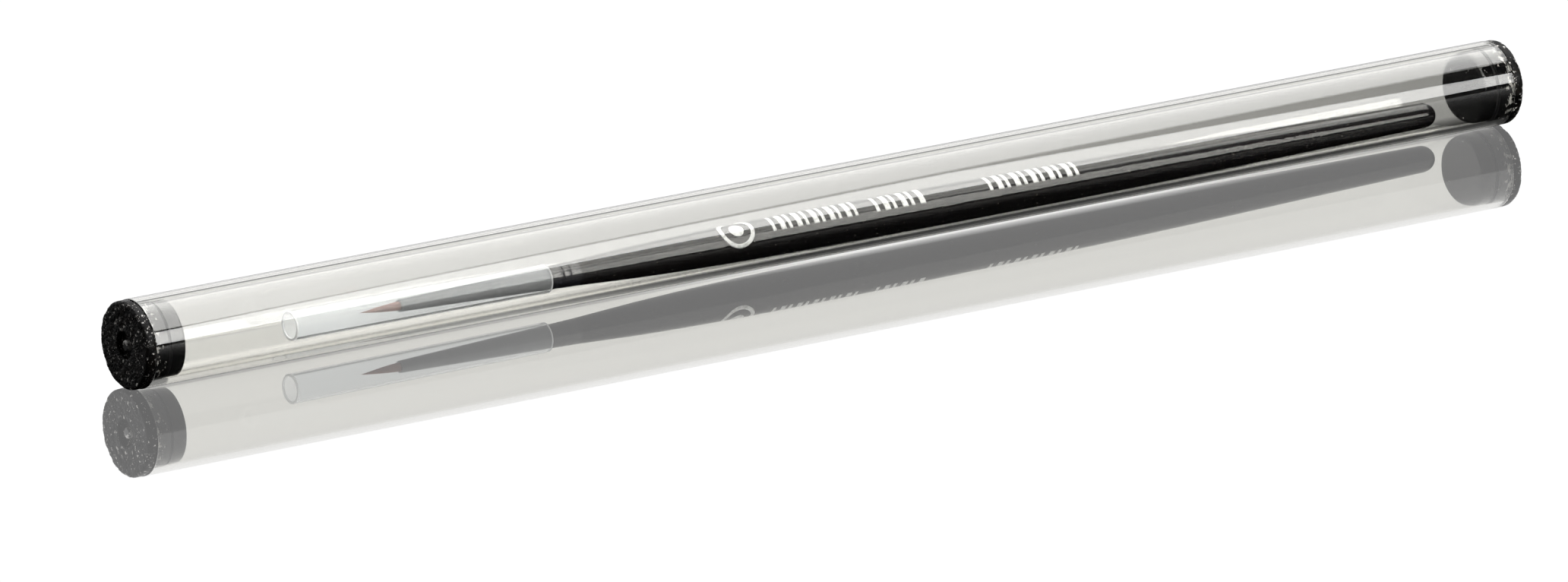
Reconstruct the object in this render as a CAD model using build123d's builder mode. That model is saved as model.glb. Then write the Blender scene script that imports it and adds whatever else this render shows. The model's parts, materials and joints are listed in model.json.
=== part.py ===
from build123d import *
import os

# Fine paint brush lying in its clear storage tube, with a push-in plug at each end.
# Millimetres. +X runs along the tube from the front plug to the rear plug, +Z is up,
# and the origin is on the floor under the middle of the tube, which lies on its side.

# Storage tube and plugs
overall_length = 237.5
tube_radius = 6.35
tube_wall = 0.8
end_gap = 0.05
tube_edge_break = 0.12
plug_head_thickness = 1.55
plug_head_radius = 6.3
plug_head_rounding = 0.5
plug_clearance = 0.05
plug_land_length = 2.5
plug_groove_width = 0.4
plug_groove_depth = 0.3
plug_lead_length = 2.4
plug_lead_step = 0.12
plug_nose_rounding = 0.6
gate_recess_radius = 1.9
gate_recess_depth = 0.9
gate_nub_radius = 0.78
gate_nub_height = 0.6
stub_root = 0.1

# Where the brush lies: its axis is a little higher at the tuft than at the butt
brush_height = 4.0
brush_slope = 0.0064

# Stations along the brush, measured along its axis from the middle of the tube
tuft_tip_x = -80.3
ferrule_mouth_x = -73.85
tuft_root_x = -66.0
glue_end_x = -59.0
tenon_end_x = -56.0
sleeve_front_x = -91.9
sleeve_rear_x = -49.35
crimp_xs = (-47.3, -46.1)
ferrule_end_x = -44.3
neck_x = -32.0
belly_x = 4.0
waist_x = 60.0
butt_shoulder_x = 104.3
butt_end_x = 106.6

# Brush sections
ferrule_mouth_radius = 0.87
ferrule_seat_radius = 1.68
ferrule_end_radius = 1.85
ferrule_wall = 0.2
crimp_radius = 0.28
crimp_depth = 0.13
neck_radius = 2.44
belly_radius = 2.93
waist_radius = 2.64
butt_radius = 1.95
glue_line = 0.03
tuft_radius = 0.66
tuft_middle_radius = 0.58
tuft_middle = 2
tuft_point_radius = 0.06
thread_radius = 0.09
thread_turns = 4
thread_pitch = 0.153
thread_start = 0.6
sleeve_radius = 2.13
sleeve_wall = 0.35
sleeve_edge_rounding = 0.08

tube_bore_radius = tube_radius - tube_wall
tube_length = overall_length - 2 * (plug_head_thickness + end_gap)
plug_shank_radius = tube_bore_radius - plug_clearance
plug_length = (
    plug_head_thickness + plug_land_length + plug_groove_width + plug_lead_length
)

# The tube's profile plane: local x runs along the tube, local y is the radius
tube_plane = Plane(origin=(0, 0, tube_radius), x_dir=(1, 0, 0), z_dir=(0, -1, 0))
tube_axis = Axis((0, 0, tube_radius), (1, 0, 0))
# The brush's profile plane, laid along its own slightly tilted axis
brush_direction = Vector(1, 0, -brush_slope)
brush_plane = Plane(origin=(0, 0, brush_height), x_dir=brush_direction, z_dir=(0, -1, 0))
brush_axis = Axis((0, 0, brush_height), brush_direction)


def ferrule_radius(x):
    """Outer radius of the ferrule: a long cone, then a shorter and blunter one."""
    if x < sleeve_rear_x:
        share = (x - ferrule_mouth_x) / (sleeve_rear_x - ferrule_mouth_x)
        return ferrule_mouth_radius + share * (ferrule_seat_radius - ferrule_mouth_radius)
    share = (x - sleeve_rear_x) / (ferrule_end_x - sleeve_rear_x)
    return ferrule_seat_radius + share * (ferrule_end_radius - ferrule_seat_radius)


def inside_ferrule(x, gap=glue_line):
    """Radius of something that fills the ferrule at x, less a thin glue line."""
    return ferrule_radius(x) - ferrule_wall - gap


def finish(part, name):
    """Label one finished piece and write it to its own file."""
    part.label = name
    export_step(part, f"parts/{name}.step")


def crimp_rings(skin=0.0):
    """Two round rings to cut away: the crimps' grooves, or what lies a skin deeper."""
    with BuildPart() as rings:
        with BuildSketch(brush_plane):
            for x in crimp_xs:
                with Locations((x, ferrule_radius(x) + crimp_radius - crimp_depth)):
                    Circle(crimp_radius + skin)
        revolve(axis=brush_axis)
    return rings.part


def ferrule_core(gap=0.0):
    """The space inside the ferrule's wall, with the crimps pressed into it."""
    wall = ferrule_wall + gap
    with BuildPart() as core:
        with BuildSketch(brush_plane):
            with BuildLine():
                Polyline(
                    (ferrule_mouth_x - 1, 0),
                    (ferrule_mouth_x - 1, ferrule_radius(ferrule_mouth_x - 1) - wall),
                    (sleeve_rear_x, ferrule_seat_radius - wall),
                    (ferrule_end_x, ferrule_end_radius - wall),
                    (ferrule_end_x + 1, ferrule_radius(ferrule_end_x + 1) - wall),
                    (ferrule_end_x + 1, 0),
                    close=True,
                )
            make_face()
        revolve(axis=brush_axis)
        add(crimp_rings(wall), mode=Mode.SUBTRACT)
    return core.part


def end_plug(outward):
    """A push-in plug. outward is -1 for the front of the tube and +1 for the rear."""
    face = outward * overall_length / 2

    def station(depth):
        return face - outward * depth

    head_back = plug_head_thickness
    land_end = head_back + plug_land_length
    groove_end = land_end + plug_groove_width
    groove_radius = plug_shank_radius - plug_groove_depth
    lead_radius = plug_shank_radius - plug_lead_step
    with BuildPart() as plug:
        with BuildSketch(tube_plane):
            with BuildLine():
                Polyline(
                    (station(gate_recess_depth), 0),
                    (station(gate_recess_depth), gate_recess_radius),
                    (face, gate_recess_radius),
                    (face, plug_head_radius),
                    (station(head_back), plug_head_radius),
                    (station(head_back), plug_shank_radius),
                    (station(land_end), plug_shank_radius),
                    (station(land_end), groove_radius),
                    (station(groove_end), groove_radius),
                    (station(groove_end), lead_radius),
                    (station(plug_length), lead_radius),
                    (station(plug_length), 0),
                    close=True,
                )
            make_face()
        revolve(axis=tube_axis)
        # The moulding gate's stub, left proud in the middle of the recess
        stub_plane = Plane(
            origin=(station(gate_recess_depth + stub_root), 0, tube_radius),
            z_dir=(outward, 0, 0),
        )
        with BuildSketch(stub_plane):
            Circle(gate_nub_radius)
        extrude(amount=gate_nub_height + stub_root)
        circles = plug.edges().filter_by(GeomType.CIRCLE)
        at_face = circles.filter_by(lambda e: abs(e.center().X - face) < 0.01)
        fillet(at_face.sort_by(SortBy.RADIUS)[-1], plug_head_rounding)
        circles = plug.edges().filter_by(GeomType.CIRCLE)
        at_nose = circles.filter_by(
            lambda e: abs(e.center().X - station(plug_length)) < 0.01
        )
        fillet(at_nose, plug_nose_rounding)
    return plug.part


os.makedirs("parts", exist_ok=True)

# Clear tube, open at both ends, with its sawn edges lightly broken
with BuildPart() as storage_tube:
    with BuildSketch(Plane(origin=(-tube_length / 2, 0, tube_radius), z_dir=(1, 0, 0))):
        Circle(tube_radius)
        Circle(tube_bore_radius, mode=Mode.SUBTRACT)
    extrude(amount=tube_length)
    chamfer(storage_tube.edges().filter_by(GeomType.CIRCLE), tube_edge_break)
finish(storage_tube.part, "storage_tube")

finish(end_plug(-1), "front_plug")
finish(end_plug(1), "rear_plug")

# Turned wooden handle: a belly just behind the ferrule, a long taper to the rounded
# butt, and a tenon that fills the rear of the ferrule
handle_tenon = ferrule_core(glue_line)
with BuildPart() as handle:
    with BuildSketch(brush_plane):
        with BuildLine():
            Spline(
                (ferrule_end_x, ferrule_end_radius),
                (neck_x, neck_radius),
                (belly_x, belly_radius),
                (waist_x, waist_radius),
                (butt_shoulder_x, butt_radius),
                tangents=[(1, 0.06), (1, -0.012)],
            )
            EllipticalCenterArc(
                (butt_shoulder_x, 0),
                butt_end_x - butt_shoulder_x,
                butt_radius,
                start_angle=0,
                arc_size=90,
            )
            Polyline(
                (butt_end_x, 0),
                (ferrule_end_x, 0),
                (ferrule_end_x, ferrule_end_radius),
            )
        make_face()
    revolve(axis=brush_axis)
    with BuildSketch(brush_plane):
        with BuildLine():
            Polyline(
                (tenon_end_x, 0),
                (tenon_end_x, ferrule_end_radius),
                (ferrule_end_x, ferrule_end_radius),
                (ferrule_end_x, 0),
                close=True,
            )
        make_face()
    tenon_blank = revolve(axis=brush_axis, mode=Mode.PRIVATE)
    add(tenon_blank & handle_tenon)
finish(handle.part, "handle")

# Conical metal ferrule, open at both ends, with two crimped rings over the tenon
with BuildPart() as ferrule:
    with BuildSketch(brush_plane):
        with BuildLine():
            Polyline(
                (ferrule_mouth_x, 0),
                (ferrule_mouth_x, ferrule_mouth_radius),
                (sleeve_rear_x, ferrule_seat_radius),
                (ferrule_end_x, ferrule_end_radius),
                (ferrule_end_x, 0),
                close=True,
            )
        make_face()
    revolve(axis=brush_axis)
    add(crimp_rings(), mode=Mode.SUBTRACT)
    add(ferrule_core(), mode=Mode.SUBTRACT)
finish(ferrule.part, "ferrule")

# Hair tuft as one plain body: a bundle in the ferrule's mouth that tapers, a little
# full at first, to its point
with BuildPart() as hair_tuft:
    with BuildSketch(brush_plane):
        with BuildLine():
            Spline(
                (ferrule_mouth_x, tuft_radius),
                (ferrule_mouth_x - tuft_middle, tuft_middle_radius),
                (tuft_tip_x, tuft_point_radius),
                tangents=[(-1, -0.02), (-1, -0.14)],
            )
            Polyline(
                (tuft_tip_x, tuft_point_radius),
                (tuft_tip_x, 0),
                (tuft_root_x, 0),
                (tuft_root_x, tuft_radius),
                (ferrule_mouth_x, tuft_radius),
            )
        make_face()
    revolve(axis=brush_axis)
finish(hair_tuft.part, "hair_tuft")

# Thread wound round the tuft's root to hold the hairs together
thread_ring_radius = tuft_radius + glue_line + thread_radius
with BuildPart() as tuft_binding:
    with BuildSketch(brush_plane):
        for turn in range(thread_turns):
            turn_x = tuft_root_x - thread_start - thread_pitch * turn
            with Locations((turn_x, thread_ring_radius)):
                Circle(thread_radius)
    revolve(axis=brush_axis)
finish(tuft_binding.part, "tuft_binding")

# Glue that fills the ferrule behind the tuft's root
with BuildPart() as root_glue:
    with BuildSketch(brush_plane):
        with BuildLine():
            Polyline(
                (tuft_root_x + glue_line, 0),
                (tuft_root_x + glue_line, inside_ferrule(tuft_root_x)),
                (glue_end_x, inside_ferrule(glue_end_x)),
                (glue_end_x, 0),
                close=True,
            )
        make_face()
    revolve(axis=brush_axis)
finish(root_glue.part, "root_glue")

# Thin plastic sleeve that guards the tuft and grips the ferrule just ahead of the crimps
with BuildPart() as protective_sleeve:
    with BuildSketch(brush_plane):
        with BuildLine():
            Polyline(
                (sleeve_front_x, sleeve_radius - sleeve_wall),
                (sleeve_front_x, sleeve_radius),
                (sleeve_rear_x, sleeve_radius),
                (sleeve_rear_x, sleeve_radius - sleeve_wall),
                close=True,
            )
        make_face()
    revolve(axis=brush_axis)
    fillet(protective_sleeve.edges().filter_by(GeomType.CIRCLE), sleeve_edge_rounding)
finish(protective_sleeve.part, "protective_sleeve")
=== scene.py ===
import json
import math
import random

import bmesh
import bpy
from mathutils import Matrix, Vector, noise


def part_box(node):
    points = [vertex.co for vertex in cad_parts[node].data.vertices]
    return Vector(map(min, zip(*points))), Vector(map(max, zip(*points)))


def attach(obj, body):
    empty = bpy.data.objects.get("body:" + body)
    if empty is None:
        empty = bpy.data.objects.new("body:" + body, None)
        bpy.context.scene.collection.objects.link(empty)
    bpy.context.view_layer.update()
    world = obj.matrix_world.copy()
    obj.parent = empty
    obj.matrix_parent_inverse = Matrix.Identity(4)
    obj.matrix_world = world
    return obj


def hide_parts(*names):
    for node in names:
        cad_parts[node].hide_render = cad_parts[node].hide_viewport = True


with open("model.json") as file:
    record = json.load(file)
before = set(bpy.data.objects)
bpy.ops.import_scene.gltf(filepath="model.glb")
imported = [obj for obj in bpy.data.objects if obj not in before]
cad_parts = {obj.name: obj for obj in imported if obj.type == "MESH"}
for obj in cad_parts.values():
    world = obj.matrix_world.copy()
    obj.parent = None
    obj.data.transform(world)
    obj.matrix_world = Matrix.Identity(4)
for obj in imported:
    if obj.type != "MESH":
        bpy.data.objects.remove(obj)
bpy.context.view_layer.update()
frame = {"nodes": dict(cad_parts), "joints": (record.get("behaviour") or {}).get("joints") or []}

scene = bpy.context.scene
MM = 0.001

# ------------------------------------------------------------ places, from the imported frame
tube_low, tube_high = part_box("storage_tube")
TUBE_RADIUS = (tube_high.z - tube_low.z) / 2
TUBE_HEIGHT = (tube_high.z + tube_low.z) / 2
TUBE_WALL = 0.8 * MM
BORE_RADIUS = TUBE_RADIUS - TUBE_WALL
front_low, front_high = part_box("front_plug")
rear_low, rear_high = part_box("rear_plug")
sleeve_low, sleeve_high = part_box("protective_sleeve")
tuft_low, tuft_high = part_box("hair_tuft")
ferrule_low, ferrule_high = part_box("ferrule")
binding_low, binding_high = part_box("tuft_binding")
# Stations of a plug behind its outer face: the end of its head, of its land, of its groove
PLUG_HEAD, PLUG_LAND, PLUG_GROOVE = 1.55 * MM, 4.05 * MM, 4.45 * MM

# The brush's axis goes through the middle of its straight sleeve, along the line on which
# the sleeve pulls off
guard_axis = next(Vector(j["axis"]) for j in frame["joints"] if j["name"] == "guard_pull")
BRUSH_DIRECTION = -guard_axis.normalized()
SLEEVE_MIDDLE = (sleeve_low + sleeve_high) / 2


def tube_point(x):
    """The point of the tube's axis at x."""
    return Vector((x, 0, TUBE_HEIGHT))


def brush_point(x):
    """The point of the brush's axis at x."""
    return SLEEVE_MIDDLE + BRUSH_DIRECTION * ((x - SLEEVE_MIDDLE.x) / BRUSH_DIRECTION.x)


def around(angle):
    """Unit direction across the brush. 0 is level towards the front, pi / 2 is straight up."""
    return Vector((0, -math.cos(angle), math.sin(angle)))


# ------------------------------------------------------------ node materials
class Shading:
    """The nodes of a new material, or of the world, with short calls to add and link them."""

    def __init__(self, name, for_world=False):
        self.owner = (bpy.data.worlds if for_world else bpy.data.materials).new(name)
        self.owner.use_nodes = True
        self.tree = self.owner.node_tree
        self.tree.nodes.clear()
        self.output = self.node("ShaderNodeOutput" + ("World" if for_world else "Material"))

    def node(self, kind, properties=None, **inputs):
        made = self.tree.nodes.new(kind)
        for name, value in (properties or {}).items():
            setattr(made, name, value)
        for name, value in inputs.items():
            self.give(made.inputs[name.replace("_", " ")], value)
        return made

    def give(self, socket, value):
        """Link the socket to another node's output, or set it to a plain value."""
        if isinstance(value, bpy.types.NodeSocket):
            self.tree.links.new(value, socket)
        elif isinstance(value, tuple) and socket.type == "RGBA":
            socket.default_value = (*value[:3], 1)
        else:
            socket.default_value = value

    def place(self, scale):
        """Object coordinates in the row frame, scaled along X, Y and Z."""
        coordinates = self.node("ShaderNodeTexCoord")
        mapping = self.node("ShaderNodeMapping", Vector=coordinates.outputs["Object"], Scale=scale)
        return mapping.outputs["Vector"]

    def noise(self, scale, detail=3.0, roughness=0.55):
        made = self.node("ShaderNodeTexNoise", Vector=self.place(scale), Scale=1.0,
                         Detail=detail, Roughness=roughness)
        return made.outputs["Fac"]

    def ramp(self, factor, *stops):
        """A ramp of (position, grey level or colour) stops."""
        made = self.node("ShaderNodeValToRGB", Fac=factor)
        elements = made.color_ramp.elements
        while len(elements) < len(stops):
            elements.new(0.5)
        for element, (position, level) in zip(elements, stops):
            element.position = position
            grey = (level, level, level) if isinstance(level, float) else level
            element.color = (*grey, 1)
        return made.outputs["Color"]

    def blend(self, factor, first, second):
        """One colour over another."""
        made = self.node("ShaderNodeMix", {"data_type": "RGBA"})
        self.give(made.inputs[0], factor)
        self.give(made.inputs[6], first)
        self.give(made.inputs[7], second)
        return made.outputs[2]

    def math(self, operation, *values, clamp=False):
        made = self.node("ShaderNodeMath", {"operation": operation, "use_clamp": clamp})
        for socket, value in zip(made.inputs, values):
            self.give(socket, value)
        return made.outputs[0]

    def spread(self, value, start, end, first, last):
        """first up to start, last from end on, and an even change between the two."""
        made = self.node("ShaderNodeMapRange", Value=value, From_Min=start, From_Max=end,
                         To_Min=first, To_Max=last)
        return made.outputs[0]

    def between(self, factor, first, second):
        """The number that lies at factor between the first one and the second."""
        made = self.node("ShaderNodeMix")
        for index, value in ((0, factor), (2, first), (3, second)):
            self.give(made.inputs[index], value)
        return made.outputs[0]

    def axes(self, space="Object"):
        """The X, Y and Z of the point being shaded."""
        coordinates = self.node("ShaderNodeTexCoord")
        return self.node("ShaderNodeSeparateXYZ", Vector=coordinates.outputs[space]).outputs

    def path(self, name):
        return self.node("ShaderNodeLightPath").outputs[name]

    def bump(self, height, strength, distance):
        made = self.node("ShaderNodeBump", Height=height, Strength=strength, Distance=distance)
        return made.outputs["Normal"]

    def principled(self, **inputs):
        return self.node("ShaderNodeBsdfPrincipled", **inputs).outputs["BSDF"]

    def glow(self, strength):
        return self.node("ShaderNodeEmission", Strength=strength).outputs[0]

    def add(self, first, second):
        """Two shaders added together."""
        made = self.node("ShaderNodeAddShader")
        self.give(made.inputs[0], first)
        self.give(made.inputs[1], second)
        return made.outputs[0]

    def turn_into(self, factor, first, second):
        """The first shader, which gives way to the second with the factor."""
        made = self.node("ShaderNodeMixShader", Fac=factor)
        self.give(made.inputs[1], first)
        self.give(made.inputs[2], second)
        return made.outputs[0]

    def show(self, shader):
        self.give(self.output.inputs["Surface"], shader)
        return self.owner

    def show_lit_through(self, shader, tint):
        """Show a clear shader whose shadow is a plain tinted pane, so that light from the
        panels reaches through it."""
        pane = self.node("ShaderNodeBsdfTransparent", Color=tint)
        return self.show(self.turn_into(self.path("Is Shadow Ray"), shader, pane.outputs[0]))


def clear_plastic():
    """Drawn clear tube: faintly grey, a touch warm, with draw lines along it."""
    s = Shading("clear_tube")
    lines = s.noise((3, 500, 500), detail=4.0)
    normal = s.bump(lines, 0.004, 0.03 * MM)
    shader = s.principled(
        Base_Color=(0.90, 0.895, 0.865), Roughness=0.0, IOR=1.49,
        Transmission_Weight=1.0, Normal=normal,
    )
    return s.show_lit_through(shader, (0.9, 0.9, 0.89))


def milky_plastic():
    """Soft extruded sleeve: the ferrule shows through its white haze."""
    s = Shading("milky_sleeve")
    cloud = s.noise((60, 900, 900), detail=4.0)
    normal = s.bump(cloud, 0.08, 0.03 * MM)
    shader = s.principled(
        Base_Color=(0.955, 0.97, 0.99), Roughness=s.ramp(cloud, (0.3, 0.02), (0.75, 0.06)),
        IOR=1.15, Transmission_Weight=0.92, Normal=normal,
    )
    return s.show_lit_through(shader, (0.75, 0.76, 0.77))


def cut_milky_plastic():
    """Frosted cut ends of the sleeve, with a painted glow for the light its wall leads to them."""
    s = Shading("milky_cut")
    grain = s.noise((6000, 6000, 6000), detail=3.0)
    colour = s.ramp(grain, (0.3, (0.80, 0.82, 0.84)), (0.7, (0.95, 0.96, 0.97)))
    normal = s.bump(grain, 0.3, 0.02 * MM)
    # Painted glow: a faint white emission stands in for the light the wall leads to the cut ends
    shader = s.principled(
        Base_Color=colour, Roughness=0.5, IOR=1.45, Transmission_Weight=0.25, Normal=normal,
        Emission_Color=(1, 1, 1), Emission_Strength=0.12,
    )
    return s.show_lit_through(shader, (0.75, 0.76, 0.77))


def gritty_plug_plastic():
    """Rough moulded face of a plug: black, with pale specks that are partly grains and partly
    painted glints.
    """
    s = Shading("black_plug_grit")
    grains = s.noise((5200, 5200, 5200), detail=2.0, roughness=0.7)
    stain = s.noise((900, 900, 900), detail=3.0)
    body = s.ramp(stain, (0.45, (0.0014, 0.0014, 0.0014)), (0.7, (0.005, 0.004, 0.003)))
    # Pale specks: partly grains in the plastic, partly painted glints that stand in for facets
    # catching the light
    grain_and_glint_specks = s.noise((1700, 1700, 1700), detail=4.0, roughness=0.75)
    pale = s.ramp(grain_and_glint_specks, (0.60, 0.0), (0.64, 1.0))
    colour = s.blend(pale, body, (0.62, 0.60, 0.57))
    normal = s.bump(grains, 0.35, 0.05 * MM)
    rough = s.ramp(stain, (0.35, 0.22), (0.7, 0.45))
    return s.show(s.principled(
        Base_Color=colour, Roughness=rough, IOR=1.5, Specular_IOR_Level=0.08, Normal=normal,
    ))


def smooth_plug_plastic():
    """Polished shank of a plug, with the soft ripple of moulded polyethylene."""
    s = Shading("black_plug_shank")
    ripple = s.noise((350, 350, 350), detail=3.0)
    scuff = s.noise((260, 5000, 5000), detail=2.0)
    body = s.ramp(scuff, (0.55, (0.0012, 0.0012, 0.0014)), (0.8, (0.012, 0.011, 0.010)))
    # Pale flecks painted near the head, where the shank meets the head and the end of the tube:
    # painted light that stands in for light the tube refracts there. The gate nub takes this
    # material, so the flecks also paint its grey-white highlight
    depth = s.math("SUBTRACT", rear_high.x, s.math("ABSOLUTE", s.axes()["X"]))
    near_head = s.spread(depth, PLUG_HEAD, PLUG_HEAD + 2.2 * MM, 0.22, 0.0)
    light_fleck_noise = s.noise((1300, 900, 900), detail=3.0, roughness=0.7)
    painted_light_flecks = s.ramp(s.math("ADD", light_fleck_noise, near_head), (0.68, 0.0), (0.74, 1.0))
    colour = s.blend(painted_light_flecks, body, (0.45, 0.44, 0.42))
    normal = s.bump(ripple, 0.12, 0.1 * MM)
    # Dust sits in the groove and takes its gloss
    in_groove = s.math("COMPARE", depth, (PLUG_LAND + PLUG_GROOVE) / 2, 0.28 * MM)
    gloss = s.ramp(scuff, (0.4, 0.05), (0.8, 0.16))
    rough = s.blend(in_groove, gloss, (0.9, 0.9, 0.9))
    return s.show(s.principled(Base_Color=colour, Roughness=rough, IOR=1.5, Normal=normal))


def black_lacquer():
    """Dipped gloss lacquer over wood: slight flow along the handle and specks of dust."""
    s = Shading("black_lacquer")
    flow = s.noise((7, 1300, 1300), detail=3.0)
    dust = s.noise((2600, 2600, 2600), detail=1.0)
    speck = s.ramp(dust, (0.745, 0.0), (0.765, 1.0))
    body = s.ramp(flow, (0.35, (0.0008, 0.0007, 0.0007)), (0.7, (0.0026, 0.0021, 0.002)))
    colour = s.blend(speck, body, (0.09, 0.08, 0.075))
    normal = s.bump(flow, 0.08, 0.02 * MM)
    rough = s.ramp(flow, (0.3, 0.03), (0.75, 0.07))
    return s.show(s.principled(Base_Color=colour, Roughness=rough, IOR=1.56, Normal=normal))


def black_metal():
    """Ferrule: black-plated metal, spun, so its fine lines run round it."""
    s = Shading("black_metal")
    rings = s.noise((9000, 60, 60), detail=2.0)
    tone = s.noise((300, 300, 300), detail=3.0)
    colour = s.ramp(tone, (0.3, (0.003, 0.003, 0.005)), (0.75, (0.010, 0.011, 0.015)))
    normal = s.bump(rings, 0.12, 0.02 * MM)
    rough = s.ramp(rings, (0.3, 0.07), (0.75, 0.15))
    return s.show(s.principled(Base_Color=colour, Roughness=rough, IOR=1.8, Normal=normal))


def white_ink():
    """Pad-printed white ink, a little thin in places."""
    s = Shading("white_ink")
    cover = s.noise((2400, 2400, 2400), detail=3.0)
    colour = s.ramp(cover, (0.3, (0.50, 0.51, 0.51)), (0.5, (0.84, 0.85, 0.85)))
    normal = s.bump(cover, 0.2, 0.02 * MM)
    return s.show(s.principled(Base_Color=colour, Roughness=0.45, Normal=normal))


def sable_hair():
    """Red sable: brown hairs, in lighter and darker streaks along their length."""
    s = Shading("brown_hair")
    streak = s.noise((180, 9000, 9000), detail=2.0)
    colour = s.ramp(streak, (0.3, (0.16, 0.045, 0.025)), (0.7, (0.42, 0.17, 0.11)))
    return s.show(s.principled(Base_Color=colour, Roughness=0.38, IOR=1.55, Specular_IOR_Level=0.6))


def waxed_thread():
    """Waxed linen thread."""
    s = Shading("binding_thread")
    fibre = s.noise((9000, 9000, 9000), detail=3.0)
    colour = s.ramp(fibre, (0.3, (0.42, 0.36, 0.26)), (0.7, (0.68, 0.61, 0.48)))
    normal = s.bump(fibre, 0.4, 0.02 * MM)
    return s.show(s.principled(Base_Color=colour, Roughness=0.6, Normal=normal))


def amber_glue():
    """Cured epoxy: amber, with cloudy patches and small bubbles."""
    s = Shading("cured_glue")
    cloud = s.noise((700, 700, 700), detail=4.0)
    bubbles = s.noise((4200, 4200, 4200), detail=1.0)
    colour = s.ramp(cloud, (0.3, (0.35, 0.17, 0.04)), (0.7, (0.62, 0.38, 0.13)))
    normal = s.bump(bubbles, 0.3, 0.03 * MM)
    return s.show(s.principled(Base_Color=colour, Roughness=0.22, IOR=1.55, Normal=normal))


# ------------------------------------------------------------ meshes
def add_piece(name, made, body, slot, replaced, *materials):
    """Turn a bmesh into a smooth piece that rides on a CAD body."""
    bmesh.ops.recalc_face_normals(made, faces=made.faces)
    mesh = bpy.data.meshes.new(name)
    made.to_mesh(mesh)
    made.free()
    for material in materials:
        mesh.materials.append(material)
    mesh.polygons.foreach_set("use_smooth", [True] * len(mesh.polygons))
    piece = bpy.data.objects.new(name, mesh)
    scene.collection.objects.link(piece)
    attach(piece, body)
    if replaced:
        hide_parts(replaced)
    return piece


def rounded_outline(corners, step=None):
    """Stations of a turned outline given by (along, radius, rounding) corners. A rounded
    corner gets a short curve with a support point at each side, and long runs are cut
    into steps."""
    points = []
    count = len(corners)
    for index, (along, radius, rounding) in enumerate(corners):
        corner = Vector((along, radius))
        if rounding <= 0 or index in (0, count - 1):
            points.append(corner)
            continue
        before = (Vector(corners[index - 1][:2]) - corner).normalized()
        after = (Vector(corners[index + 1][:2]) - corner).normalized()
        points.append(corner + before * rounding * 1.4)
        for turn in range(7):
            t = turn / 6
            curve = before * (rounding * (1 - t) ** 2) + after * (rounding * t ** 2)
            points.append(corner + curve)
        points.append(corner + after * rounding * 1.4)
    if step is None:
        return points
    filled = []
    for first, second in zip(points, points[1:]):
        pieces = max(1, round((second - first).length / step))
        filled += [first.lerp(second, n / pieces) for n in range(pieces)]
    return filled + [points[-1]]


def closed_outline(corners):
    """Stations of a closed outline with every corner rounded, as of a ring or a tube."""
    wrapped = [corners[-1], *corners, corners[0]]
    return rounded_outline(wrapped)[1:-1]


def turned(outline, axis_point, segments, closed=False):
    """A turned bmesh from stations (x, radius) about the axis given by axis_point."""
    made = bmesh.new()
    rings = []
    for x, radius in outline:
        centre = axis_point(x)
        if radius < 1e-7:
            rings.append([made.verts.new(centre)])
            continue
        turns = [2 * math.pi * step / segments for step in range(segments)]
        rings.append([made.verts.new(centre + around(turn) * radius) for turn in turns])
    pairs = list(zip(rings, rings[1:]))
    if closed:
        pairs.append((rings[-1], rings[0]))
    for first, second in pairs:
        for step in range(segments):
            after = (step + 1) % segments
            if len(first) == 1:
                made.faces.new((first[0], second[after], second[step]))
            elif len(second) == 1:
                made.faces.new((first[step], first[after], second[0]))
            else:
                made.faces.new((first[step], first[after], second[after], second[step]))
    return made


def make_storage_tube():
    """Clear tube with softly broken ends."""
    edge = 0.14 * MM
    corners = [
        (tube_low.x, BORE_RADIUS, edge),
        (tube_low.x, TUBE_RADIUS, edge),
        (tube_high.x, TUBE_RADIUS, edge),
        (tube_high.x, BORE_RADIUS, edge),
    ]
    made = turned(closed_outline(corners), tube_point, 288, closed=True)
    add_piece("clear_tube", made, "tube", "clear_tube", "storage_tube", clear_plastic())


def grit_depth(point, seed):
    """How deep the rough head is eaten in at a point: lumps, then grains."""
    place = point / MM + Vector((seed, 0, 0))
    lumps = max(0.0, noise.noise(place * 0.9)) * 0.16
    grains = abs(noise.noise(place * 3.1)) * 0.13
    pits = max(0.0, noise.noise(place * 5.3) - 0.25) * 0.22
    return (lumps + grains + pits) * MM


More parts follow.
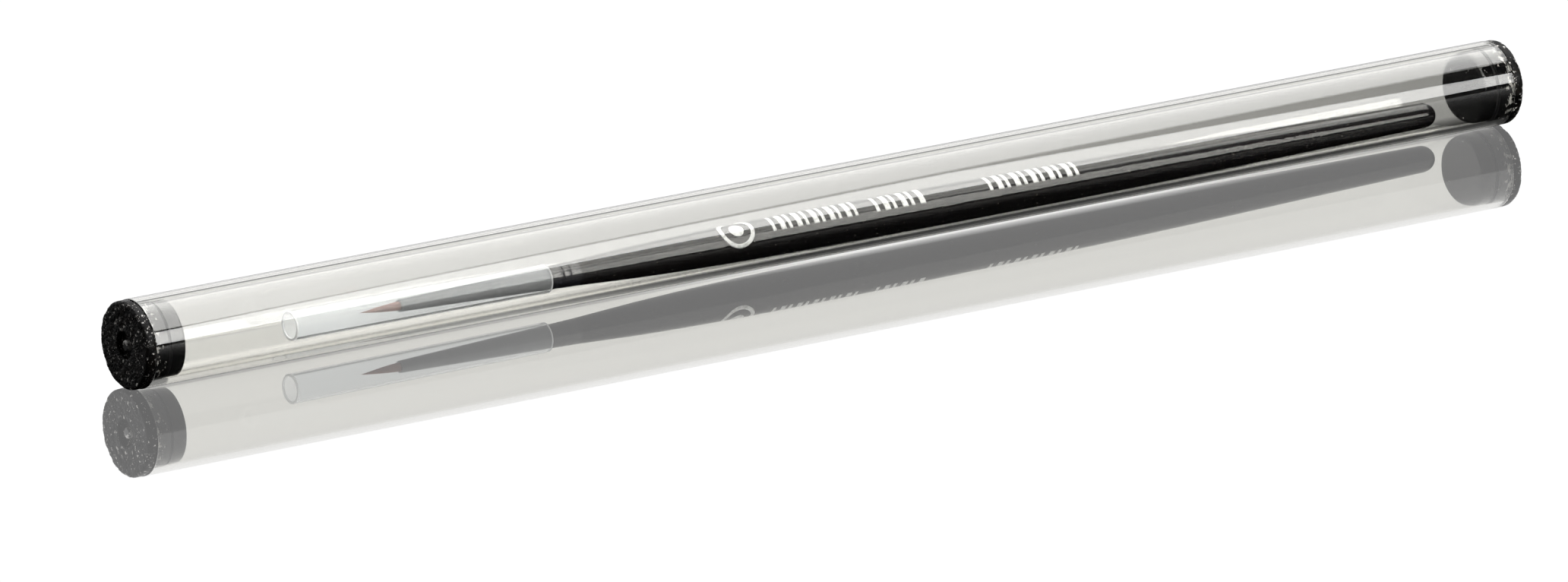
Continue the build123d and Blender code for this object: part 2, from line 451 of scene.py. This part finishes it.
def make_plug(name, low, high, outward, body, replaced, seed):
    """A push-in plug: rough head with its gate recess, then land, groove and lead."""
    face = low.x if outward < 0 else high.x
    head_radius = (high.z - low.z) / 2
    length = high.x - low.x
    shank = BORE_RADIUS - 0.05 * MM
    groove_radius, lead_radius = shank - 0.3 * MM, shank - 0.12 * MM
    stub_radius, stub_top = 0.78 * MM, 0.3 * MM
    recess_radius, recess_floor = 1.9 * MM, 0.9 * MM
    head_corners = [
        (stub_top, 0, 0),
        (stub_top, stub_radius, 0.2 * MM),
        (recess_floor, stub_radius, 0.1 * MM),
        (recess_floor, recess_radius, 0.2 * MM),
        (0, recess_radius, 0.3 * MM),
        (0, head_radius, 0.45 * MM),
        (PLUG_HEAD, head_radius, 0.2 * MM),
        (PLUG_HEAD, shank, 0),
    ]
    shank_corners = [
        (PLUG_HEAD, shank, 0),
        (PLUG_LAND, shank, 0.06 * MM),
        (PLUG_LAND, groove_radius, 0.06 * MM),
        (PLUG_GROOVE, groove_radius, 0.06 * MM),
        (PLUG_GROOVE, lead_radius, 0.06 * MM),
        (length, lead_radius, 0.6 * MM),
        (length, 0, 0),
    ]
    stations = rounded_outline(head_corners, 0.11 * MM)
    stations += rounded_outline(shank_corners, 0.3 * MM)[1:]
    outline = [(face - outward * depth, radius) for depth, radius in stations]
    made = turned(outline, tube_point, 320)
    bmesh.ops.recalc_face_normals(made, faces=made.faces)
    made.normal_update()
    head_end, grit_start = PLUG_HEAD - 0.02 * MM, 1.0 * MM
    for vertex in made.verts:
        depth = (face - vertex.co.x) * outward
        offset = vertex.co - tube_point(vertex.co.x)
        radius = offset.length
        if depth < head_end and radius > grit_start:
            # The rim is smooth between its two rough edges
            on_rim = radius > head_radius - 0.1 * MM
            middle = 1 - abs(depth / PLUG_HEAD - 0.55) / 0.45
            share = 1 - 0.75 * max(0.0, min(1.0, middle * 1.6)) if on_rim else 1.0
            share *= min(1.0, (radius - grit_start) / (0.8 * MM))
            vertex.co -= vertex.normal * (grit_depth(vertex.co, seed) * share)
        elif depth > PLUG_HEAD + 0.1 * MM and radius > shank - 0.5 * MM:
            ripple = noise.noise(vertex.co / MM * 0.45 + Vector((seed, 3, 0)))
            vertex.co -= offset.normalized() * (0.05 * MM * max(0.0, ripple))
    # The gate nub takes the shank's material, whose pale flecks near the head paint its highlight
    for polygon in made.faces:
        centre = polygon.calc_center_median()
        depth = (face - centre.x) * outward
        on_stub = (centre - tube_point(centre.x)).length < 0.8 * MM
        polygon.material_index = 0 if depth < head_end and not on_stub else 1
    add_piece(name, made, body, "black_plug", replaced, plug_grit, plug_smooth)


def make_sleeve():
    """Milky sleeve: a cut length of soft tube, frosted at its ends."""
    outer = (sleeve_high.z - sleeve_low.z) / 2
    outer -= abs(BRUSH_DIRECTION.z) * (sleeve_high.x - sleeve_low.x) / 2
    wall, edge, frosted = 0.35 * MM, 0.08 * MM, 0.25 * MM
    inner = outer - wall
    corners = [
        (sleeve_low.x, inner, edge),
        (sleeve_low.x, outer, edge),
        (sleeve_low.x + frosted, outer, 0),
        (sleeve_high.x - frosted, outer, 0),
        (sleeve_high.x, outer, edge),
        (sleeve_high.x, inner, edge),
        (sleeve_high.x - frosted, inner, 0),
        (sleeve_low.x + frosted, inner, 0),
    ]
    made = turned(closed_outline(corners), brush_point, 160, closed=True)
    for polygon in made.faces:
        x = polygon.calc_center_median().x
        at_end = x - sleeve_low.x < frosted or sleeve_high.x - x < 0.06 * MM
        polygon.material_index = 1 if at_end else 0
    add_piece("milky_sleeve", made, "guard", "milky_sleeve", "protective_sleeve",
              milky_plastic(), cut_milky_plastic())


def tuft_width(x):
    """Share of the tuft's full width at x: even in the ferrule, then down to a point."""
    mouth = ferrule_low.x
    if x > mouth:
        return 1.0
    done = (mouth - x) / (mouth - tuft_low.x)
    return max(0.0, 1 - done ** 1.35)


def make_hairs():
    """Sable hairs bunched in the ferrule, which draw together to a point."""
    hair_count, hair_sides, hair_steps = 420, 5, 16
    bunch_radius = (tuft_high.z - tuft_low.z) / 2 - 0.06 * MM
    made = bmesh.new()
    for index in range(hair_count):
        spread = math.sqrt((index + 0.5) / hair_count)
        angle = index * math.pi * (3 - math.sqrt(5))
        start = tuft_high.x - 0.05 * MM
        tip = tuft_low.x + random.uniform(0, 0.25 + 2.2 * spread ** 2) * MM
        sway = random.uniform(-0.25, 0.25)
        rings = []
        for step in range(hair_steps + 1):
            t = step / hair_steps
            x = start + (tip - start) * t
            reach = bunch_radius * spread * tuft_width(x)
            centre = brush_point(x) + around(angle + sway * t) * reach
            thick = 0.034 * MM * min(1.0, 0.7 + t) * (1 - t ** 5) + 0.003 * MM
            turns = [2 * math.pi * side / hair_sides for side in range(hair_sides)]
            rings.append([made.verts.new(centre + around(turn) * thick) for turn in turns])
        for first, second in zip(rings, rings[1:]):
            for side in range(hair_sides):
                after = (side + 1) % hair_sides
                made.faces.new((first[side], first[after], second[after], second[side]))
        made.faces.new(rings[0][::-1])
        made.faces.new(rings[-1])
    add_piece("sable_hairs", made, "brush", "brown_hair", "hair_tuft", sable_hair())


def make_binding():
    """Two-ply thread wound round the tuft's root."""
    turns, steps_per_turn, sides = 4, 60, 16
    thread = 0.09 * MM
    ring_radius = (binding_high.z - binding_low.z) / 2 - thread
    start = binding_high.x - thread
    pitch = (binding_high.x - binding_low.x - 2 * thread) / (turns - 1) * 0.98
    made = bmesh.new()
    rings = []
    for step in range((turns - 1) * steps_per_turn + 1):
        turn = 2 * math.pi * step / steps_per_turn
        x = start - pitch * step / steps_per_turn
        outward = around(turn)
        ring = []
        for side in range(sides):
            angle = 2 * math.pi * side / sides
            lobes = 1 - 0.22 * abs(math.sin(angle + step * 0.35))
            offset = outward * math.cos(angle) + Vector((1, 0, 0)) * math.sin(angle)
            centre = brush_point(x) + outward * ring_radius
            ring.append(made.verts.new(centre + offset * thread * lobes))
        rings.append(ring)
    for first, second in zip(rings, rings[1:]):
        for side in range(sides):
            after = (side + 1) % sides
            made.faces.new((first[side], first[after], second[after], second[side]))
    made.faces.new(rings[0][::-1])
    made.faces.new(rings[-1])
    add_piece("wound_thread", made, "brush", "binding_thread", "tuft_binding", waxed_thread())


# ------------------------------------------------------------ printed marks
def ink_patch(made, place, columns, rows):
    """A closed thin solid of ink on the handle. place(u, v) gives (x, angle) for u and v
    from 0 to 1."""
    handle = frame["nodes"]["handle"]
    layers = []
    for lift in (0.014 * MM, -0.01 * MM):
        layer = []
        for column in range(columns + 1):
            line = []
            for row in range(rows + 1):
                x, angle = place(column / columns, row / rows)
                outward = around(angle)
                start = brush_point(x) + outward * 5 * MM
                hit, spot, _, _ = handle.ray_cast(start, -outward)
                line.append(made.verts.new(spot + outward * lift))
            layer.append(line)
        layers.append(layer)
    top, bottom = layers
    for column in range(columns):
        for row in range(rows):
            for layer in layers:
                made.faces.new((
                    layer[column][row], layer[column + 1][row],
                    layer[column + 1][row + 1], layer[column][row + 1],
                ))
    for row in range(rows):
        for column in (0, columns):
            made.faces.new((
                top[column][row], top[column][row + 1],
                bottom[column][row + 1], bottom[column][row],
            ))
    for column in range(columns):
        for row in (0, rows):
            made.faces.new((
                top[column][row], top[column + 1][row],
                bottom[column + 1][row], bottom[column][row],
            ))


def make_ink_bars(name, first_x, last_x, ink):
    """A row of plain bars across the handle, in turn narrow and wide."""
    low_angle, high_angle = math.radians(35), math.radians(97)
    made = bmesh.new()
    pitch = 1.45 * MM
    count = round((last_x - first_x) / pitch)
    pitch = (last_x - first_x) / count
    for index in range(count):
        width = pitch * (0.62 if index % 2 else 0.38)
        left = first_x + pitch * index

        def place(u, v, left=left, width=width):
            return left + width * u, low_angle + (high_angle - low_angle) * v

        ink_patch(made, place, 3, 14)
    add_piece(name, made, "brush", None, None, ink)


def make_ink_badge(name, centre_x, centre_angle, radius, handle_radius, ink):
    """A plain ring with a dot in its middle."""
    made = bmesh.new()

    def polar(inner, outer):
        def place(u, v):
            turn = 2 * math.pi * u
            reach = inner + (outer - inner) * v
            along = centre_x + reach * math.cos(turn)
            return along, centre_angle + reach * math.sin(turn) / handle_radius
        return place

    ink_patch(made, polar(0.78 * radius, radius), 64, 3)
    ink_patch(made, polar(0.02 * radius, 0.4 * radius), 32, 5)
    bmesh.ops.remove_doubles(made, verts=made.verts, dist=1e-7)
    add_piece(name, made, "brush", None, None, ink)


# ------------------------------------------------------------ studio
# The object stands in a dim studio with lit panels. Rays that come by way of the floor see
# plain white all round instead, so the floor is evenly pale from every side and mirrors
# nothing but the object. A fully clear sheet on the floor marks those rays.
STUDIO_WHITE = 1.02
THROUGH_GLASS = 0.78
FLOOR_MIRROR = 0.87
FLOOR_GLOW = 0.135
# Share of the floor's light that comes through the tube: behind it from its left end to its
# right end, right under it left and right of UNDER_TURN, and on the line where it gathers
SEEN_THROUGH = (0.62, 0.38)
SEEN_UNDER = (0.92, 0.16)
UNDER_TURN = (-0.055, -0.01)
SEEN_ON_LINE = 1.3
LINE_GLOW = 0.55
KEY_LIGHT = 5.7
TOP_LIGHT = 3.9
# The key panel and the black board behind it stand this far from the tube, square to a
# line that climbs at PANEL_CLIMB; (along, up) are places on them
PANEL_REACH = 0.35
BOARD_REACH = 0.40
PANEL_CLIMB = math.radians(34)
TOP_HEIGHT = 0.5
FLOOR_HALF = 8.0
FLOOR_DEPTH = 0.02 * MM


def by_way_of_floor(s):
    """1 for a ray that has passed the clear sheet, else 0."""
    return s.math("GREATER_THAN", s.path("Transparent Depth"), 0.5)


def floor_white(s):
    """The plain white that the floor mirrors, greyer where it comes through the glass."""
    in_glass = s.math("GREATER_THAN", s.path("Transmission Depth"), 0.5)
    return s.between(in_glass, STUDIO_WHITE, STUDIO_WHITE * THROUGH_GLASS)


def studio_glow(name, strength):
    """A panel's own light, which the floor's mirror image shows as plain white."""
    s = Shading(name)
    return s.show(s.glow(s.between(by_way_of_floor(s), strength, floor_white(s))))


def add_stage_card(name, corners, material, camera_sees=False):
    mesh = bpy.data.meshes.new(name)
    mesh.from_pydata([tuple(corner) for corner in corners], [], [tuple(range(len(corners)))])
    mesh.materials.append(material)
    card = bpy.data.objects.new(name, mesh)
    scene.collection.objects.link(card)
    card.visible_camera = camera_sees


def on_panel(reach, along, up):
    upward = Vector((0, math.sin(PANEL_CLIMB), math.cos(PANEL_CLIMB)))
    return tube_point(along) + around(PANEL_CLIMB) * reach + upward * up


def make_panels():
    """Key panel at the front right on a black board, and a panel overhead."""
    key = [
        (0.04, -0.20), (0.12, -0.185), (0.20, -0.15), (0.42, -0.15), (0.36, 0.02),
        (0.29, 0.105), (0.26, 0.155), (0.13, 0.075), (0.04, -0.015),
    ]
    corners = [on_panel(PANEL_REACH, *place) for place in key]
    add_stage_card("key_panel", corners, studio_glow("key_light", KEY_LIGHT))
    board = [
        (0.0, -0.275), (0.75, -0.275), (0.75, 0.45), (0.50, 0.335), (0.30, 0.225),
        (0.146, 0.09), (0.0, -0.06),
    ]
    corners = [on_panel(BOARD_REACH, *place) for place in board]
    add_stage_card("black_board", corners, studio_glow("black_card", 0.01))
    overhead = [(-0.2, -0.54), (0.9, -0.54), (0.9, 0.42), (-0.2, 0.42)]
    corners = [Vector((x, y, TOP_HEIGHT)) for x, y in overhead]
    add_stage_card("top_panel", corners, studio_glow("top_light", TOP_LIGHT))


def mirror_floor(s, share, mirror_share, glow_share):
    """The floor's look: a pale glow with a mirror image over it, times share."""
    scale = s.node("ShaderNodeVectorMath", {"operation": "SCALE"}, Scale=share)
    scale.inputs[0].default_value = (mirror_share,) * 3
    mirror = s.node("ShaderNodeBsdfGlossy", Color=scale.outputs[0], Roughness=0.02)
    return s.add(mirror.outputs[0], s.glow(s.math("MULTIPLY", glow_share, share)))


def floor_seen_directly(s, x, y):
    """Pale, with a line of light that the tube gathers where it touches the floor."""
    line = s.spread(s.math("ABSOLUTE", y), 0.5 * MM, 4.2 * MM, LINE_GLOW, 0.0)
    inward = s.math(
        "MINIMUM", s.spread(x, -0.04, 0.0, 0.0, 1.0), s.spread(x, 0.05, 0.10, 1.0, 0.0)
    )
    return s.add(
        mirror_floor(s, 1.0, FLOOR_MIRROR, FLOOR_GLOW), s.glow(s.math("MULTIPLY", line, inward))
    )


def floor_seen_through_tube(s, x, y):
    """Dimmer behind the tube and in the strip right under it, except on the line."""
    behind = s.spread(x, -0.12, 0.12, *SEEN_THROUGH)
    shaded = s.spread(x, *UNDER_TURN, *SEEN_UNDER)
    on_line = s.math("COMPARE", y, -1.0 * MM, 0.7 * MM)
    under = s.between(on_line, shaded, SEEN_ON_LINE)
    share = s.between(s.spread(y, 2 * MM, 4.5 * MM, 0.0, 1.0), under, behind)
    return mirror_floor(s, share, 0.75 / THROUGH_GLASS, 0.28)


def make_floor():
    """Polished floor: pale, with a mirror image of the object. Seen through the tube it is
    dimmer, and the object's own gloss mirrors it as the dark polished sheet that it is."""
    s = Shading("polished_floor")
    x, y, _ = s.axes()
    look = s.turn_into(
        s.path("Is Camera Ray"), floor_seen_through_tube(s, x, y), floor_seen_directly(s, x, y)
    )
    dark = s.principled(Base_Color=(0.002, 0.002, 0.002), Roughness=0.0, IOR=1.22)
    bounces = s.math("ADD", s.path("Glossy Depth"), s.path("Diffuse Depth"))
    bounced = s.math("GREATER_THAN", bounces, 0.5)
    # Light led round inside the tube's wall has crossed a few surfaces and comes down close
    # to where the tube touches the floor
    in_wall = s.math("COMPARE", s.path("Transmission Depth"), 2.0, 1.5)
    close_by = s.spread(y, -4.3 * MM, -3.1 * MM, 0.0, 1.0)
    led_round = s.math("MULTIPLY", in_wall, close_by)
    look = s.turn_into(s.math("SUBTRACT", bounced, led_round, clamp=True), look, dark)
    # A ray that comes back to the floor a second time ends in plain light
    again = s.math("GREATER_THAN", s.path("Transparent Depth"), 2.5)
    look = s.turn_into(again, look, s.glow(0.3))

    sides = [(-1, -1), (1, -1), (1, 1), (-1, 1)]
    for name, z, material in (
        ("studio_floor", -FLOOR_DEPTH, s.show(look)), ("floor_sheet", 0.0, clear_sheet()),
    ):
        corners = [(FLOOR_HALF * across, FLOOR_HALF * away, z) for across, away in sides]
        add_stage_card(name, corners, material, True)


def clear_sheet():
    s = Shading("clear_sheet")
    return s.show(s.node("ShaderNodeBsdfTransparent").outputs[0])


def make_world():
    """Dim studio: dark towards the front, brighter behind the object, and plain white where
    it is seen directly or by way of the floor."""
    s = Shading("studio", for_world=True)
    _, away, up = s.axes("Generated")
    shade = s.spread(away, -0.3, 0.6, 0.03, 1.1)
    # A dark strip stands behind the object, above the floor's edge
    shaded = s.between(s.math("COMPARE", up, 0.35, 0.06), shade, 0.12)
    plain = s.math("MAXIMUM", by_way_of_floor(s), s.path("Is Camera Ray"))
    level = s.between(plain, shaded, floor_white(s))
    back = s.node("ShaderNodeBackground", Color=(1, 1, 1), Strength=level)
    scene.world = s.show(back.outputs[0])


def make_camera():
    """The viewpoint: front left, a little above, through a long lens."""
    yaw, pitch, distance = math.radians(33.83), math.radians(16.97), 1.950
    aim = Vector((-0.0085, 0, -0.0044))
    forward = Vector((
        math.sin(yaw) * math.cos(pitch), math.cos(yaw) * math.cos(pitch), -math.sin(pitch)
    ))
    data = bpy.data.cameras.new("camera")
    data.lens = 312.7
    data.sensor_width = 36
    camera = bpy.data.objects.new("camera", data)
    scene.collection.objects.link(camera)
    camera.location = aim - forward * distance
    camera.rotation_euler = forward.to_track_quat("-Z", "Y").to_euler()
    scene.camera = camera


random.seed(11)
scene.view_settings.view_transform = "Standard"
scene.cycles.max_bounces = 24
scene.cycles.transmission_bounces = 20
scene.cycles.glossy_bounces = 10
scene.cycles.transparent_max_bounces = 24
make_camera()
make_world()
make_panels()
make_floor()

plug_grit = gritty_plug_plastic()
plug_smooth = smooth_plug_plastic()
ink = white_ink()
make_storage_tube()
make_plug("front_plug_detail", front_low, front_high, -1, "front_cap", "front_plug", 1.7)
make_plug("rear_plug_detail", rear_low, rear_high, 1, "rear_cap", "rear_plug", 8.3)
make_sleeve()
make_hairs()
make_binding()
for node_name, material in (
    ("handle", black_lacquer()), ("ferrule", black_metal()), ("root_glue", amber_glue()),
):
    for material_slot in frame["nodes"][node_name].material_slots:
        material_slot.material = material
make_ink_badge("ink_badge", -17.8 * MM, math.radians(62), 2.85 * MM, 2.8 * MM, ink)
for number, (first_x, last_x) in enumerate(((-12, 3.5), (5.8, 14.9), (25.6, 42.2)), 1):
    make_ink_bars(f"ink_bars_{number}", first_x * MM, last_x * MM, ink)
